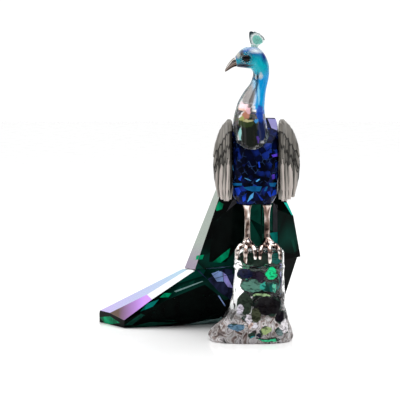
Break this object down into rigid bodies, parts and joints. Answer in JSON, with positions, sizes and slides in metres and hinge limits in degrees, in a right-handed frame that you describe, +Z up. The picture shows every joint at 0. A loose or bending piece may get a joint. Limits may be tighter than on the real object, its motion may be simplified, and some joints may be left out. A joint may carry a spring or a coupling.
{
  "type": "peacock figurine",
  "caption": "Cut-crystal peacock standing on a clear moulded stump, with silvered feet and beak, smoky wings and a long faceted train.",
  "frame": {"origin": "on the ground, under the middle of the stump's foot", "axes": "+Z up; the bird faces -Y; +X is the bird's own left; the train sweeps to -X behind the bird"},
  "size_m": [0.1181, 0.0876, 0.1701],
  "materials": {
    "clear_crystal": "polished, moulded",
    "silvered_metal": "polished silver plate on cast metal",
    "dark_blue_crystal": "cut and polished",
    "blue_tinted_glass": "polished, clear in front and blue behind",
    "black_glass": "polished",
    "pale_mint_glass": "polished",
    "smoky_glass": "polished, ribbed",
    "dark_green_crystal": "cut and polished, with coated bevels"
  },
  "bodies": {
    "root": {"stump": "clear_crystal", "leg_left": "silvered_metal", "leg_right": "silvered_metal", "body": "dark_blue_crystal", "neck_head": "blue_tinted_glass", "beak": "silvered_metal", "eye_left": "black_glass", "eye_right": "black_glass", "crest": "pale_mint_glass", "wing_left": "smoky_glass", "wing_right": "smoky_glass", "tail_upper": "dark_green_crystal", "tail_lower": "dark_green_crystal"}
  },
  "joints": []
}
